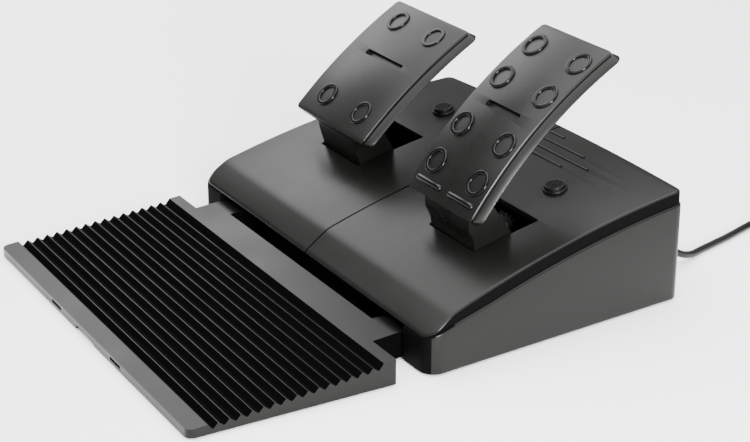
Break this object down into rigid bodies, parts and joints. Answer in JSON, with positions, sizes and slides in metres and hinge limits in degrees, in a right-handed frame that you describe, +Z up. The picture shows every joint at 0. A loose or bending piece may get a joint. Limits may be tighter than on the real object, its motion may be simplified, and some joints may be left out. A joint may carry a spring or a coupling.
{
  "type": "racing wheel pedal unit",
  "caption": "Two-pedal floor unit for a racing wheel: wedge housing, brake and throttle pedals on hinges, ribbed fold-up heel plate and lead with plug.",
  "frame": {"origin": "middle of the unit's outline at floor level, lead left out", "axes": "+Z up, +Y away from the user, +X to the user's right"},
  "size_m": [0.2435, 0.4373, 0.1305],
  "materials": {
    "satin_black_plastic": "satin moulded black ABS",
    "matte_black_plastic": "matt textured black ABS",
    "rubber": "matt black rubber",
    "lead_sheath": "satin black PVC sheath",
    "grey_plastic": "dark grey moulded plastic",
    "zinc_steel": "zinc plated",
    "ground_steel": "ground bright",
    "black_nylon": "black nylon",
    "board": "green solder resist"
  },
  "bodies": {
    "housing": {"lower_shell": "satin_black_plastic", "top_cover": "satin_black_plastic", "shell_screw_1": "zinc_steel", "shell_screw_2": "zinc_steel", "shell_screw_3": "zinc_steel", "shell_screw_4": "zinc_steel", "shell_screw_5": "zinc_steel", "shell_screw_6": "zinc_steel", "foot_front_left": "rubber", "foot_front_right": "rubber", "foot_back_left": "rubber", "foot_back_right": "rubber", "circuit_board": "board", "board_screw_1": "zinc_steel", "board_screw_2": "zinc_steel", "brake_shaft": "ground_steel", "brake_bearing_cap_outer": "grey_plastic", "brake_bearing_cap_inner": "grey_plastic", "brake_cap_screw_outer": "zinc_steel", "brake_cap_screw_inner": "zinc_steel", "brake_return_spring": "ground_steel", "brake_sensor": "grey_plastic", "brake_sensor_nut": "zinc_steel", "brake_button": "rubber", "brake_sensor_lead": "lead_sheath", "throttle_shaft": "ground_steel", "throttle_bearing_cap_outer": "grey_plastic", "throttle_bearing_cap_inner": "grey_plastic", "throttle_cap_screw_outer": "zinc_steel", "throttle_cap_screw_inner": "zinc_steel", "throttle_return_spring": "ground_steel", "throttle_sensor": "grey_plastic", "throttle_sensor_nut": "zinc_steel", "throttle_button": "rubber", "throttle_sensor_lead": "lead_sheath", "strain_relief": "lead_sheath", "inner_lead": "lead_sheath", "cable": "lead_sheath", "cable_coil": "lead_sheath", "coil_tie": "lead_sheath", "plug_lead": "lead_sheath", "plug": "grey_plastic"},
    "throttle_pedal": {"throttle_pedal_plate": "satin_black_plastic", "throttle_arm": "satin_black_plastic", "throttle_plate_screw_1": "zinc_steel", "throttle_plate_screw_2": "zinc_steel"},
    "brake_pedal": {"brake_pedal_plate": "satin_black_plastic", "brake_arm": "satin_black_plastic", "brake_plate_screw_1": "zinc_steel", "brake_plate_screw_2": "zinc_steel"},
    "throttle_sensor_rotor": {"throttle_pinion": "black_nylon", "throttle_sensor_shaft": "ground_steel"},
    "brake_sensor_rotor": {"brake_pinion": "black_nylon", "brake_sensor_shaft": "ground_steel"},
    "heel_plate": {"heel_plate": "matte_black_plastic", "heel_foot_left": "rubber", "heel_foot_right": "rubber"}
  },
  "joints": [
    {"name": "throttle_hinge", "type": "hinge", "parent": "housing", "child": "throttle_pedal", "pos_m": [0.0625, 0.0419, 0.0178], "axis": [-1, 0, 0], "range_deg": [0, 24], "stiffness_Nm_per_rad": 2, "springref_deg": -17.19, "deforming": ["throttle_return_spring"]},
    {"name": "throttle_sensor_turn", "type": "hinge", "parent": "housing", "child": "throttle_sensor_rotor", "pos_m": [0.0393, 0.07258, 0.02897], "axis": [-1, 0, 0], "range_deg": [-96, 0]},
    {"name": "brake_hinge", "type": "hinge", "parent": "housing", "child": "brake_pedal", "pos_m": [-0.0625, 0.0499, 0.0178], "axis": [-1, 0, 0], "range_deg": [0, 20], "stiffness_Nm_per_rad": 4, "springref_deg": -17.19, "deforming": ["brake_return_spring"]},
    {"name": "brake_sensor_turn", "type": "hinge", "parent": "housing", "child": "brake_sensor_rotor", "pos_m": [-0.0393, 0.08058, 0.02897], "axis": [-1, 0, 0], "range_deg": [-80, 0]},
    {"name": "heel_plate_hinge", "type": "hinge", "parent": "housing", "child": "heel_plate", "pos_m": [0, -0.0141, 0.0083], "axis": [-1, 0, 0], "range_deg": [0, 25]}
  ],
  "couplings": [
    {"joint": "throttle_sensor_turn", "follows": "throttle_hinge", "ratio": -4},
    {"joint": "brake_sensor_turn", "follows": "brake_hinge", "ratio": -4}
  ]
}
